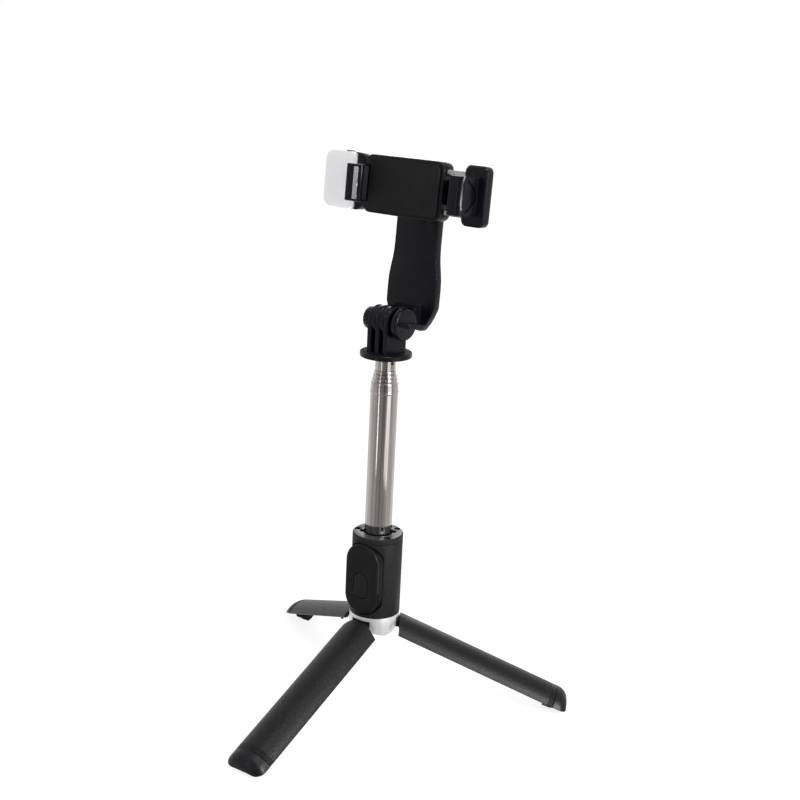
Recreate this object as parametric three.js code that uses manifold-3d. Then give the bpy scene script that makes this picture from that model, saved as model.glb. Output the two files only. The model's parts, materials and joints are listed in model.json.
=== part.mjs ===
// Tripod selfie stick: three folding shell legs, a handle with a clip-in remote, a five-stage
// telescopic pole, a tilting head and a spring phone clamp with a folding fill light.
// Millimetres. +Z up, -Y is the side the phone faces, the stick stands open on z = 0.
import * as THREE from 'three';
import { mergeVertices } from 'three/addons/utils/BufferGeometryUtils.js';
import Module from 'manifold-3d';

const wasm = await Module();
wasm.setup();
const DEG = Math.PI / 180;

// ---------- Driving dimensions ----------
const POLE_X = 4.84;           // pole axis in the part's frame
const POLE_Y = 19.96;
const HANDLE_Z = 53.0;         // height of the handle's lower edge over the table
const GAP = 0.3;               // room between pieces that touch

const HANDLE_R = 14.4;
const HANDLE_H = 47.5;
const HANDLE_BORE = 8.3;
const HANDLE_WALL = 1.8;
const CAP_H = 3.0;
const CAP_BORE = 8.4;
const CAP_NOTCHES = [40, 130, 220]; // azimuths of the slots in the cap's bore
const SLEEVE_R = [7.85, 8.1];  // guide bush between the handle's bore and the outer tube
const SCREW_RING_R = 11.9;     // the three cap screws, placed around the remote's pocket
const SCREW_AZIMUTHS = [64, 206, 337];

const LEG_AZIMUTHS = { a: 275.7, b: 35.7, c: 155.7 };
const LEG_OPEN = 67.5;         // degrees from folded to standing
const LEG_R = 14.3;
const LEG_INNER_R = 12.8;
const LINER_R = 12.4;
const LINER_INNER_R = 11.4;
const LEG_HALF = 59.2;         // half of the leg's arc, degrees
const LINER_HALF = 55;
const PIN_R = 1.0;
const PIN_X = 10.4;            // hinge pin, from the pole axis and from the handle's lower edge
const PIN_Z = -5.0;
const ROOT_S = 3.6;            // leg's root at the crest and at its side edges, below the pin
const ROOT_EDGE_S = 7.0;
const CAP_S = 104.4;           // end cap's seam and tip
const TIP_S = 113.2;
const TIP_FILLET = 7.0;
const TIP_CORNER = 5.2;
const TIP_WALL = 1.6;
const LUG_R = 2.1;
const LUG_HALF = 5.6;
const KNUCKLE_HALF = 8.2;
const HUB_H = 11.2;
const FOOT_S = [101.2, 107.4];
const FOOT_HALF = 2.9;
const FOOT_NUB_Y = 5.0;
const FOOT_LOW_X = 6.6;        // where the foot leaves the leg, from the pole axis when folded
const FOOT_APEX = 0.4;         // folded, each foot keeps this far inside its own third

const REMOTE_AZIMUTH = LEG_AZIMUTHS.a;
const REMOTE_W = 22;
const REMOTE_H = 42;
const REMOTE_Z = 22.6;         // middle of the remote over the handle's lower edge
const REMOTE_FACE = 15.2;      // outer face from the pole axis
const REMOTE_BACK = 9.4;
const REMOTE_SPLIT = 12.0;
const POCKET_SIDE_GAP = 0.9;   // room on either side of the remote in its pocket
const LED_R = 0.45;            // indicator hole in the remote's face
const LED_PLACE = [-6.1, -2];
const SIDE_SLOT_X = [12.8, 13.6];
const SIDE_SLOT_Z = [-12, -6.4];
const BUTTON_W = 9.5;
const BUTTON_H = 15;
const BUTTON_DROP = 3.7;       // button's middle under the remote's middle

const TUBE_SIDES = 24;
const TUBE_WALL = 0.32;
const TUBES = [                // outer radius, lower end, upper end
  { name: 'tube_5', r: 7.7, low: 9.0, top: 135.4 },
  { name: 'tube_4', r: 7.2, low: 14.5, top: 137.6 },
  { name: 'tube_3', r: 6.7, low: 20.0, top: 139.8 },
  { name: 'tube_2', r: 6.2, low: 25.5, top: 142.0 },
  { name: 'tube_1', r: 5.7, low: 31.0, top: 149.2 },
];
const BUSH_H = 4.5;
const BEAD_R = 8.0;            // stop bead on the outer tube
const BEAD_Z = 129.8;

const FLANGE_Z = 149.5;
const FLANGE_H = 2.7;
const TILT_Z = 169.0;          // tilt axis
const PRONG_PITCH = 2.85;
const PRONG_T = 2.65;
const PRONG_R = 8.1;
const ARM_R = 8.3;
const SCREW_R = 2.2;
const SCREW_HOLE_R = 2.6;
const THUMB_R = 8.8;
const THUMB_X = [9.8, 13.6];
const SHOULDER_X = 7.3;
const FIN_T = 2.8;
const FIN_OUT = 7;
const FIN_HALF = 6.9;
const FIN_TURN = -10;          // how the screw happens to stand, degrees
const NUT_R = 6.3;
const NUT_X = [-12.5, -7.3];
const RIVET_AZIMUTH = 350;
const RIVET_Z = 146.4;

const HEAD_LEAN = -3.84;       // the head leans back, degrees
const PIVOT_Z = 71.3;          // clamp pivot above the tilt axis, along the arm
const PLATE_Y = [17.9, 22.4];  // arm's back plate
const PLATE_LOW = -5.2;
const PLATE_FOOT = 9.3;        // half widths of the plate: foot, hips and neck
const PLATE_HIP = 17;
const PLATE_NECK = 14.5;
const ARM_BLOCK_X = 8.2;       // half width of the block that joins the arm's prongs to its plate
const ARM_BLOCK_Y = 11.5;
const PIVOT_R = 3.4;           // hole and counterbore for the pivot screw
const PIVOT_SEAT_R = 6.4;
const PIVOT_SEAT_H = 1.6;
const BODY_Y = [7.9, 17.3];    // clamp body, front cover to back
const COVER_T = 1.8;
const PAD_T = 1.0;
const BODY_X = [-33, 22];
const BODY_HALF = 15.75;
const BODY_CORNER = 5;
const BODY_WALL = 2;
const END_WALL = 3;            // wall that the tongue and the rods pass through
const JAW_HALF = 10;
const LIP_Y = [-4.2, -1.5];    // lips in front of the phone
const FIXED_FACE = -29.2;      // inner faces of the jaws
const SLIDER_FACE = 41.5;
const JAW_PAD_T = 0.8;
const FIXED_OUT = -35.2;
const FIXED_LIP = -24.2;
const STRIP_X = [-29.4, -26.3]; // bright trim strip on the fixed jaw's lip
const SLIDER_OUT = 44.4;
const SLIDER_LIP = 35.5;
const SLIDER_CORNER = 4;
const DISH_DEPTH = 0.7;        // lens-shaped finger recess, wrapped round the jaw's front corner
const DISH_TURN = -45;
const DISH_SHIFT = 3.6;
const DISH_HALF = [5.2, 8.3];  // half width and half height
const SLAB_X = [34.3, 49.4];
const SLAB_Y = [9.8, 16.0];
const SLAB_CHAMFER = 1.1;
const ROD_R = 1.5;
const ROD_V = 10.5;
const TONGUE_X = -18;          // inner end of the slider's tongue
const TONGUE_Y = [13.0, 15.2];
const TONGUE_HALF = 6.5;
const SLOT_X = [-14, 16];      // slot in the tongue for the pivot screw
const SLOT_HALF = 3.3;
const ROD_END = -10;           // inner end of the guide rods
const ROD_Y = 13.0;
const COIL_R = 1.95;
const WIRE_R = 0.28;

const LIGHT_X = [-65.4, -35.8];
const DIFFUSER_END = -42.0;
const LIGHT_HALF = 15.75;
const LIGHT_CORNER = 5.5;
const DIFFUSER_Y = [11.8, 14.9];
const LIGHT_BACK_Y = [15.2, 17.8];
const LIGHT_PIN = { x: -35.2, y: 20.6 };
const KNUCKLE_R = 2.4;
const KNUCKLE_Z = 5.9;         // half length of the light's knuckle
const EAR_Z = [6.2, 11];       // the clamp's ears on either side of it
const LIGHT_BUTTON_X = -51.2;

// ---------- Materials ----------
const finish = (color, roughness, metalness) => ({ color, roughness, metalness });
const BLACK = finish(0x262628, 0.55, 0);
const LEG_BLACK = finish(0x1f1f21, 0.6, 0);
const HEAD_BLACK = finish(0x201f26, 0.4, 0);
const SILVER = finish(0xd8d8da, 0.35, 0.6);
const STEEL = finish(0xb9b1aa, 0.18, 1);
const BRASS = finish(0xb08d4a, 0.35, 1);
const RUBBER = finish(0x141414, 0.85, 0);
const WHITE = finish(0xe6e6ea, 0.5, 0);
const BOARD = finish(0x1d5a34, 0.6, 0);
const DARK_SCREW = finish(0x2b2b2d, 0.4, 0.8);

// ---------- Solids ----------
function merged(geometry) {
  const plain = geometry.clone();
  plain.deleteAttribute('normal');
  plain.deleteAttribute('uv');
  return mergeVertices(plain, 1e-4);
}

function faces(geometry) {
  const all = geometry.index.array;
  const kept = [];
  for (let i = 0; i < all.length; i += 3) {
    const [a, b, c] = [all[i], all[i + 1], all[i + 2]];
    if (a !== b && b !== c && c !== a) kept.push(a, b, c);
  }
  return kept;
}

function solid(geometry) {
  const plain = merged(geometry);
  const points = plain.attributes.position.array;
  const corners = faces(plain);
  const point = (i) => new THREE.Vector3().fromArray(points, 3 * i);
  let volume = 0;
  for (let i = 0; i < corners.length; i += 3) {
    volume += point(corners[i]).dot(point(corners[i + 1]).cross(point(corners[i + 2])));
  }
  const facing = volume > 0 ? corners : corners.reverse();
  const mesh = new wasm.Mesh({
    numProp: 3,
    vertProperties: new Float32Array(points),
    triVerts: new Uint32Array(facing),
  });
  return new wasm.Manifold(mesh);
}

function geometryOf(body) {
  const mesh = body.getMesh();
  const geometry = new THREE.BufferGeometry();
  geometry.setAttribute('position', new THREE.BufferAttribute(mesh.vertProperties, 3));
  geometry.setIndex(new THREE.BufferAttribute(mesh.triVerts, 1));
  return geometry;
}

const combine = (how) => (first, ...rest) =>
  geometryOf(rest.reduce((body, next) => body[how](solid(next)), solid(first)));
const join = combine('add');
const cut = combine('subtract');
const overlap = combine('intersect');

function box(x, y, z) {
  const geometry = new THREE.BoxGeometry(x[1] - x[0], y[1] - y[0], z[1] - z[0]);
  return geometry.translate((x[0] + x[1]) / 2, (y[0] + y[1]) / 2, (z[0] + z[1]) / 2);
}

// A profile of [radius, height] pairs turned about +Z.
function turned(profile, segments = 48) {
  const points = profile.map(([r, z]) => new THREE.Vector2(r, z));
  return new THREE.LatheGeometry(points, segments).rotateX(Math.PI / 2);
}

function ring(inner, outer, low, top, segments) {
  return turned([[inner, low], [outer, low], [outer, top], [inner, top], [inner, low]], segments);
}

function rod(r, low, top, segments = 24) {
  return turned([[0, low], [r, low], [r, top], [0, top]], segments);
}

const alongX = (geometry) => geometry.rotateY(Math.PI / 2);
const alongY = (geometry) => geometry.rotateX(-Math.PI / 2);

function outline(points) {
  return new THREE.Shape(points.map(([x, y]) => new THREE.Vector2(x, y)));
}

function roundedRect(x, y, r) {
  const shape = new THREE.Shape();
  shape.moveTo(x[0] + r, y[0]);
  shape.absarc(x[1] - r, y[0] + r, r, -Math.PI / 2, 0, false);
  shape.absarc(x[1] - r, y[1] - r, r, 0, Math.PI / 2, false);
  shape.absarc(x[0] + r, y[1] - r, r, Math.PI / 2, Math.PI, false);
  shape.absarc(x[0] + r, y[0] + r, r, Math.PI, 1.5 * Math.PI, false);
  return shape;
}

function sector(inner, outer, half) {
  const shape = new THREE.Shape();
  shape.absarc(0, 0, outer, -half * DEG, half * DEG, false);
  shape.absarc(0, 0, inner, half * DEG, -half * DEG, true);
  return shape;
}

// Shapes drawn in XY, XZ or YZ and given a thickness along the third axis.
function prismZ(shape, z, curveSegments = 8) {
  const settings = { depth: z[1] - z[0], bevelEnabled: false, curveSegments };
  return new THREE.ExtrudeGeometry(shape, settings).translate(0, 0, z[0]);
}

function prismY(shape, y, curveSegments) {
  return prismZ(shape, [-y[1], -y[0]], curveSegments).rotateX(Math.PI / 2);
}

function prismX(shape, x, curveSegments) {
  const turn = new THREE.Matrix4().makeBasis(
    new THREE.Vector3(0, 1, 0), new THREE.Vector3(0, 0, 1), new THREE.Vector3(1, 0, 0));
  return prismZ(shape, x, curveSegments).applyMatrix4(turn);
}

function polar(geometry, radius, azimuth, z = 0) {
  return geometry.translate(radius, 0, z).rotateZ(azimuth * DEG);
}

// ---------- Assembly groups ----------
const stick = new THREE.Group();
stick.position.set(POLE_X, POLE_Y, 0);
const pole = new THREE.Group();
pole.position.z = HANDLE_Z;
stick.add(pole);

function add(parent, name, geometry, look) {
  const material = new THREE.MeshStandardMaterial(look);
  const mesh = new THREE.Mesh(geometry, material);
  mesh.name = name;
  parent.add(mesh);
}

// ---------- Handle ----------
function handleBody() {
  const top = HANDLE_H - CAP_H - GAP;
  const pocket = roundedRect(
    [-REMOTE_W / 2 - POCKET_SIDE_GAP, REMOTE_W / 2 + POCKET_SIDE_GAP],
    [REMOTE_Z - REMOTE_H / 2 - GAP, REMOTE_Z + REMOTE_H / 2 + GAP], REMOTE_W / 2);
  const pocketCut = prismX(pocket, [REMOTE_BACK - GAP, HANDLE_R + 4], 10).rotateZ(REMOTE_AZIMUTH * DEG);
  // Two hollows behind the outer wall, clear of the pocket and the screw posts, open at the top.
  const hollow = (from, to) =>
    prismZ(sector(HANDLE_BORE + 1.2, HANDLE_R - HANDLE_WALL, (to - from) / 2), [2.5, HANDLE_H], 10)
      .rotateZ((REMOTE_AZIMUTH + (from + to) / 2) * DEG);
  const posts = SCREW_AZIMUTHS.map((a) => polar(rod(0.9, top - 9, HANDLE_H, 12), SCREW_RING_R, a));
  const walls = ring(HANDLE_BORE, HANDLE_R, 0, top, 48);
  return cut(walls, pocketCut, hollow(68, 137), hollow(155, 279), ...posts);
}

function handleCap() {
  const low = HANDLE_H - CAP_H;
  const notch = (azimuth) =>
    box([CAP_BORE - 1, CAP_BORE + 1.7], [-1.9, 1.9], [low - 1, HANDLE_H + 1]).rotateZ(azimuth * DEG);
  const seats = SCREW_AZIMUTHS.map((a) => polar(rod(1.9, low + 1.2, HANDLE_H + 1, 16), SCREW_RING_R, a));
  const holes = SCREW_AZIMUTHS.map((a) => polar(rod(1.1, low - 1, HANDLE_H, 12), SCREW_RING_R, a));
  const disc = turned([
    [CAP_BORE, low], [HANDLE_R, low], [HANDLE_R, HANDLE_H - 0.6], [HANDLE_R - 0.6, HANDLE_H],
    [CAP_BORE, HANDLE_H], [CAP_BORE, low]], 48);
  return cut(disc, ...seats, ...holes, ...CAP_NOTCHES.map(notch));
}

function capScrew(azimuth) {
  const seat = HANDLE_H - CAP_H + 1.2;
  const head = join(rod(1.6, seat + 0.1, seat + 1.1, 20), rod(0.8, seat - 8, seat + 0.5, 10));
  const slot = box([-1.1, 1.1], [-0.25, 0.25], [seat + 0.7, seat + 2]);
  const cross = box([-0.25, 0.25], [-1.1, 1.1], [seat + 0.7, seat + 2]);
  return polar(cut(head, slot, cross), SCREW_RING_R, azimuth);
}

function guideBush() {
  return ring(...SLEEVE_R, HANDLE_H - CAP_H - 7, HANDLE_H - 0.9, 32);
}

add(pole, 'handle_body', handleBody(), BLACK);
add(pole, 'handle_top_cap', handleCap(), BLACK);
SCREW_AZIMUTHS.forEach((azimuth, i) => add(pole, `cap_screw_${i + 1}`, capScrew(azimuth), DARK_SCREW));
add(pole, 'guide_bush', guideBush(), RUBBER);

// ---------- Legs ----------
// A leg is drawn folded, hanging under the handle: s runs down it from the pin.
const below = (s) => PIN_Z - s;

// Outline of the leg seen from outside: scalloped root, straight edges, rounded tip corners.
function legFace(extra, tip) {
  const wide = LEG_R;
  const crest = below(ROOT_S - extra);
  const edge = below(ROOT_EDGE_S - extra);
  const end = below(tip);
  const shape = new THREE.Shape();
  shape.moveTo(-wide, edge);
  shape.bezierCurveTo(-wide * 0.75, edge + 0.3, -wide * 0.5, crest, -wide * 0.28, crest);
  shape.lineTo(wide * 0.28, crest);
  shape.bezierCurveTo(wide * 0.5, crest, wide * 0.75, edge + 0.3, wide, edge);
  shape.lineTo(wide, end);
  shape.lineTo(-wide, end);
  return shape;
}

function legShell() {
  const blank = prismZ(sector(LEG_INNER_R, LEG_R, LEG_HALF), [below(CAP_S - GAP), 0], 9);
  return overlap(blank, prismX(legFace(0, CAP_S), [0, LEG_R + 1], 4));
}

// Circular segment behind the leg's arc, down to the chord between its side edges.
function segment(r, chord, z) {
  const half = Math.acos(chord / r);
  const shape = new THREE.Shape();
  shape.absarc(0, 0, r, -half, half, false);
  return prismZ(shape, z, 8);
}

function tipSide(inset) {
  const top = LEG_R - inset;
  const end = below(TIP_S - inset);
  const shape = new THREE.Shape();
  shape.moveTo(0, below(90));
  shape.lineTo(0, end);
  shape.lineTo(top - TIP_FILLET, end);
  shape.absarc(top - TIP_FILLET, end + TIP_FILLET, TIP_FILLET, -Math.PI / 2, 0, false);
  shape.lineTo(top, below(90));
  return prismY(shape, [-LEG_R, LEG_R], 5);
}

function tipPlan(inset) {
  const wide = LEG_R * Math.sin(LEG_HALF * DEG) - inset;
  const shape = roundedRect([-wide, wide], [below(TIP_S - inset), below(80)], TIP_CORNER);
  return prismX(shape, [0, LEG_R + 1], 4);
}

function tipForm(inset, from) {
  const chord = LEG_R * Math.cos(LEG_HALF * DEG) - (inset ? 2 : 0);
  return overlap(segment(LEG_R - inset, chord, [below(TIP_S), below(from)]), tipSide(inset), tipPlan(inset));
}

function legCap() {
  return cut(tipForm(0, CAP_S), tipForm(TIP_WALL, CAP_S - 1));
}

function legLiner() {
  const channelZ = [below(CAP_S - 0.5), below(ROOT_EDGE_S + 1)];
  const channel = prismZ(sector(LINER_INNER_R, LINER_R, LINER_HALF), channelZ, 6);
  const arm = box([LINER_INNER_R - 1.4, LINER_R - 0.2], [-LUG_HALF, LUG_HALF], [below(13), below(2)]);
  const lug = prismY(lugSide(), [-LUG_HALF, LUG_HALF], 8);
  const nub = (s) => prismZ(sector(LINER_INNER_R, LINER_R - 0.1, 3.2), [below(s + 1), below(s - 1)], 2)
    .rotateZ((LINER_HALF + 3.1) * DEG);
  const rib = (s) => overlap(
    segment(LINER_R - 0.3, 8.4, [below(s + 0.6), below(s - 0.6)]),
    prismZ(sector(1, LINER_R, LINER_HALF), [below(s + 1), below(s - 1)], 6));
  const seat = box([6.9, LINER_R - 0.3], [-1.5, 1.5], [below(FOOT_S[1] - 1.6), below(FOOT_S[0] + 1.6)]);
  const pinHole = prismY(circle(PIN_X, PIN_Z, PIN_R + 0.2), [-LUG_HALF - 1, LUG_HALF + 1], 8);
  const whole = join(channel, arm, lug, nub(15), nub(66), rib(35), rib(65), rib(96), seat);
  // Inside the shell the liner is round, above the shell's root the lug is free.
  const round = rod(LINER_R, below(TIP_S), below(ROOT_S - 0.4), 36);
  const inside = join(round, box([6, 14], [-9, 9], [below(3.4), 2]));
  return cut(overlap(whole, inside), pinHole);
}

function circle(x, y, r) {
  const shape = new THREE.Shape();
  shape.absarc(x, y, r, 0, 2 * Math.PI, false);
  return shape;
}

function lugSide() {
  const shape = new THREE.Shape();
  shape.moveTo(PIN_X + LUG_R, below(0));
  shape.absarc(PIN_X, PIN_Z, LUG_R, 0, Math.PI, false);
  shape.lineTo(PIN_X - LUG_R, below(1.5));
  shape.lineTo(LINER_INNER_R - 1.4, below(8));
  shape.lineTo(LINER_R - 0.4, below(8));
  shape.lineTo(LINER_R - 0.4, below(2.0));
  return shape;
}

// Height of the table under the open leg, in the folded leg's own frame: x at a given s.
function tableX(s) {
  const drop = -HANDLE_Z - PIN_Z + s * Math.cos(LEG_OPEN * DEG);
  return PIN_X + drop / Math.sin(LEG_OPEN * DEG);
}

function foot() {
  const side = ([from, to], lift) => outline([
    [FOOT_LOW_X, below(from)], [tableX(from) + lift, below(from)],
    [tableX(to) + lift, below(to)], [FOOT_LOW_X, below(to)]]);
  const block = prismY(side(FOOT_S, 0), [-FOOT_HALF, FOOT_HALF]);
  const nub = (y) => prismY(side([FOOT_S[0] + 1.4, FOOT_S[1] - 1.2], 2.2), [y - 1.2, y + 1.2]);
  const bar = box(
    [FOOT_LOW_X - 0.5, FOOT_LOW_X], [-FOOT_NUB_Y - 1.2, FOOT_NUB_Y + 1.2],
    [below(FOOT_S[1] - 0.9), below(FOOT_S[0] + 1)]);
  // The three feet meet round the pole axis when the legs are folded.
  const reach = (LEG_R - FOOT_APEX) * Math.tan(60 * DEG);
  const third = outline([[FOOT_APEX, 0], [LEG_R, -reach], [LEG_R, reach]]);
  const room = prismZ(third, [below(FOOT_S[1] + 1), below(FOOT_S[0] - 1)]);
  return overlap(join(block, nub(-FOOT_NUB_Y), nub(FOOT_NUB_Y), bar), room);
}

for (const [letter, azimuth] of Object.entries(LEG_AZIMUTHS)) {
  const turn = new THREE.Group();
  turn.rotation.z = azimuth * DEG;
  const leg = new THREE.Group();
  leg.position.set(PIN_X, 0, PIN_Z);
  leg.rotation.y = -LEG_OPEN * DEG;
  turn.add(leg);
  pole.add(turn);
  const fromPin = (geometry) => geometry.translate(-PIN_X, 0, -PIN_Z);
  add(leg, `leg_shell_${letter}`, fromPin(legShell()), LEG_BLACK);
  add(leg, `leg_liner_${letter}`, fromPin(legLiner()), BLACK);
  add(leg, `leg_cap_${letter}`, fromPin(legCap()), BLACK);
  add(leg, `foot_${letter}`, fromPin(foot()), RUBBER);
  add(turn, `leg_pin_${letter}`, alongPin(rod(PIN_R, -KNUCKLE_HALF + 0.4, KNUCKLE_HALF - 0.4, 16)), STEEL);
}

function alongPin(geometry) {
  return alongY(geometry).translate(PIN_X, 0, PIN_Z);
}

// ---------- Hub ----------
// The space that a leg's root sweeps between folded and standing, with room around it.
function rootSweep(azimuth) {
  const blank = prismZ(sector(LINER_INNER_R - 0.2, LEG_R + 1.2, 64), [below(24), 0], 4);
  const tool = overlap(blank, prismX(legFace(0.45, 24), [0, LEG_R + 2], 2));
  const steps = 3;
  const places = Array.from({ length: steps + 1 }, (_, i) => {
    const place = tool.clone().translate(-PIN_X, 0, -PIN_Z);
    return place.rotateY(-(i / steps) * LEG_OPEN * DEG).translate(PIN_X, 0, PIN_Z);
  });
  return join(...places).rotateZ(azimuth * DEG);
}

function legHub() {
  const azimuths = Object.values(LEG_AZIMUTHS);
  const spigot = ring(HANDLE_BORE, HANDLE_R, -HUB_H, -GAP, 48);
  let hub = cut(spigot, ...azimuths.map(rootSweep));
  for (const azimuth of azimuths) {
    const mouth = box([7.8, LEG_R + 1], [-LUG_HALF - 0.4, LUG_HALF + 0.4], [-HUB_H - 1, -2.4]);
    const hole = alongPin(rod(PIN_R + 0.06, -KNUCKLE_HALF + 0.2, KNUCKLE_HALF - 0.2, 16));
    hub = cut(hub, mouth.rotateZ(azimuth * DEG), hole.rotateZ(azimuth * DEG));
  }
  return hub;
}

add(pole, 'leg_hub', legHub(), SILVER);

// ---------- Remote ----------
function remoteShell(inset) {
  return roundedRect(
    [-REMOTE_W / 2 + inset, REMOTE_W / 2 - inset],
    [-REMOTE_H / 2 + inset, REMOTE_H / 2 - inset], REMOTE_W / 2 - inset);
}

function remoteBack() {
  const shell = prismX(remoteShell(0), [REMOTE_BACK, REMOTE_SPLIT - GAP], 6);
  return cut(shell, prismX(remoteShell(1.4), [REMOTE_BACK + 1, REMOTE_SPLIT], 6));
}

function remoteButtonShape(extra) {
  const half = BUTTON_W / 2 + extra;
  const tall = BUTTON_H / 2 + extra;
  return roundedRect([-half, half], [-BUTTON_DROP - tall, -BUTTON_DROP + tall], half);
}

function remoteFront() {
  const bevel = 0.9;
  const settings = {
    depth: REMOTE_FACE - REMOTE_SPLIT - bevel, bevelThickness: bevel, bevelSize: bevel,
    bevelOffset: -bevel, bevelSegments: 1, curveSegments: 6,
  };
  const turn = new THREE.Matrix4().makeBasis(
    new THREE.Vector3(0, 1, 0), new THREE.Vector3(0, 0, 1), new THREE.Vector3(1, 0, 0));
  const block = new THREE.ExtrudeGeometry(remoteShell(0), settings)
    .translate(0, 0, REMOTE_SPLIT).applyMatrix4(turn);
  const trimmed = cut(block, box([0, REMOTE_SPLIT], [-30, 30], [-40, 40]));
  const hollow = prismX(remoteShell(1.6), [0, REMOTE_FACE - 1.4], 6);
  const led = alongX(rod(LED_R, REMOTE_FACE - 0.8, REMOTE_FACE + 1, 12)).translate(0, ...LED_PLACE);
  const slot = box(SIDE_SLOT_X, [REMOTE_W / 2 - 1, REMOTE_W / 2 + 1], SIDE_SLOT_Z);
  return cut(trimmed, hollow, prismX(remoteButtonShape(0.3), [0, 20], 6), led, slot);
}

const remote = new THREE.Group();
remote.position.z = REMOTE_Z;
remote.rotation.z = REMOTE_AZIMUTH * DEG;
pole.add(remote);
add(remote, 'remote_back', remoteBack(), BLACK);
add(remote, 'remote_front', remoteFront(), BLACK);
add(remote, 'remote_button', prismX(remoteButtonShape(0), [13.0, REMOTE_FACE - 0.1], 6), BLACK);
add(remote, 'remote_board', prismX(remoteShell(2.0), [12.0, 12.5], 6), BOARD);
add(remote, 'coin_cell', alongX(rod(8.0, 10.6, 11.8, 32)), STEEL);

// ---------- Telescopic pole ----------
function poleTube({ r, low, top }) {
  const inner = r - TUBE_WALL;
  const lip = 0.1;
  return turned([
    [inner, low], [r, low], [r, top - lip], [r - lip, top], [inner, top], [inner, low]], TUBE_SIDES);
}

function outerTube({ r, low, top }) {
  const inner = r - TUBE_WALL;
  return turned([
    [inner, low], [r, low], [r, BEAD_Z - 0.8], [BEAD_R, BEAD_Z - 0.3], [BEAD_R, BEAD_Z + 0.3],
    [r, BEAD_Z + 0.8], [r, top - 0.1], [r - 0.1, top], [inner, top], [inner, low]], TUBE_SIDES);
}

// Friction bush under each inner tube, running in the tube outside it.
function tubeBush(tube, outside) {
  const top = tube.low - GAP;
  return ring(tube.r - TUBE_WALL, outside.r - TUBE_WALL - 0.06, top - BUSH_H, top, TUBE_SIDES);
}

function innermostTube(tube) {
  const hole = polar(alongX(rod(1.2, 3, 9, 12)), 0, RIVET_AZIMUTH, RIVET_Z);
  return cut(poleTube(tube), hole);
}

const [tube5, tube4, tube3, tube2, tube1] = TUBES;
add(pole, 'tube_5', outerTube(tube5), STEEL);
add(pole, 'tube_4', poleTube(tube4), STEEL);
add(pole, 'tube_3', poleTube(tube3), STEEL);
add(pole, 'tube_2', poleTube(tube2), STEEL);
add(pole, 'tube_1', innermostTube(tube1), STEEL);
add(pole, 'tube_4_bush', tubeBush(tube4, tube5), BRASS);
add(pole, 'tube_3_bush', tubeBush(tube3, tube4), BRASS);
add(pole, 'tube_2_bush', tubeBush(tube2, tube3), BRASS);
add(pole, 'tube_1_bush', tubeBush(tube1, tube2), BRASS);

// ---------- Head base ----------
function prong(x, r, footZ) {
  const shape = new THREE.Shape();
  shape.moveTo(-r, footZ);
  shape.lineTo(r, footZ);
  shape.absarc(0, 0, r, 0, Math.PI, false);
  return prismX(shape, [x - PRONG_T / 2, x + PRONG_T / 2], 12);
}

function headBase() {
  const low = FLANGE_Z - TILT_Z;
  const flange = turned([
    [0, low], [HANDLE_R - 0.4, low], [HANDLE_R, low + 0.4], [HANDLE_R, low + FLANGE_H - 0.4],
    [HANDLE_R - 0.4, low + FLANGE_H], [0, low + FLANGE_H]], 48);
  const stem = rod(5.0, low - 9, low + 0.5, 32);
  const prongs = [-2, 0, 2].map((n) => prong(n * PRONG_PITCH, PRONG_R, low + FLANGE_H - 0.5));
  const bolt = alongX(rod(SCREW_HOLE_R, -12, 12, 20));
  const rivetHole = polar(alongX(rod(1.2, 3, 9, 12)), 0, RIVET_AZIMUTH, RIVET_Z - TILT_Z);
  return cut(join(flange, stem, ...prongs), bolt, rivetHole);
}

function knurledNut() {
  const outer = new THREE.Shape();
  const teeth = 20;
  for (let i = 0; i < 2 * teeth; i += 1) {
    const r = i % 2 ? NUT_R : NUT_R - 0.35;
    const a = (i / teeth) * Math.PI;
    if (i) outer.lineTo(r * Math.cos(a), r * Math.sin(a));
    else outer.moveTo(r, 0);
  }
  return cut(prismX(outer, NUT_X), alongX(rod(SCREW_R + 0.3, NUT_X[0] - 1, 0)));
}

function thumbScrew() {
  const [near, far] = THUMB_X;
  const disc = turned([
    [0, near], [THUMB_R - 0.4, near], [THUMB_R, near + 0.4], [THUMB_R, far - 0.5],
    [THUMB_R - 0.5, far], [0, far]], 40);
  const shaft = join(rod(SCREW_R, NUT_X[0] + 0.6, near + 0.5), rod(4.2, SHOULDER_X, near + 0.5, 32));
  const face = roundedRect([far - 2, far + FIN_OUT], [-FIN_HALF, FIN_HALF], 0.8);
  const fin = prismZ(face, [-FIN_T / 2, FIN_T / 2], 3);
  return join(alongX(disc), alongX(shaft), fin).rotateX(FIN_TURN * DEG);
}

const head = new THREE.Group();
head.position.z = TILT_Z;
pole.add(head);
add(head, 'head_base', headBase(), HEAD_BLACK);
const rivet = alongX(rod(0.95, 3.6, 6.1, 16));
add(head, 'head_rivet', polar(rivet, 0, RIVET_AZIMUTH, RIVET_Z - TILT_Z), DARK_SCREW);
add(head, 'knurled_nut', knurledNut(), HEAD_BLACK);
add(head, 'thumb_screw', thumbScrew(), HEAD_BLACK);

// ---------- Tilt arm ----------
const lean = new THREE.Group();
lean.rotation.x = HEAD_LEAN * DEG;
head.add(lean);

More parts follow.
